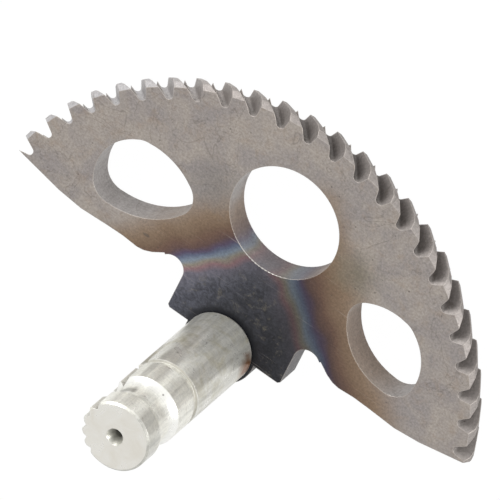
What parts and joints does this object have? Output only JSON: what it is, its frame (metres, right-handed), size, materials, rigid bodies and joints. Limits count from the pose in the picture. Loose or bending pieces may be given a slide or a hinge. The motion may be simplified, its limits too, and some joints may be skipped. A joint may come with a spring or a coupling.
{
  "type": "sector gear",
  "caption": "Flat steel sector gear with helical rim teeth and three lightening holes, fixed on a round shaft with a clamp groove, a ring groove and side serrations.",
  "frame": {"origin": "point where the shaft axis meets the back face of the plate", "axes": "+Z along the shaft to its free end, +Y from the axis to the middle of the toothed rim"},
  "size_m": [0.1251, 0.0732, 0.0567],
  "materials": {
    "plate_steel": "hardened steel, mottled brown grey, with temper colours round the hub",
    "shaft_steel": "ground bright steel with slight warm stains"
  },
  "bodies": {
    "root": {"sector_plate": "plate_steel", "shaft": "shaft_steel"}
  },
  "joints": []
}
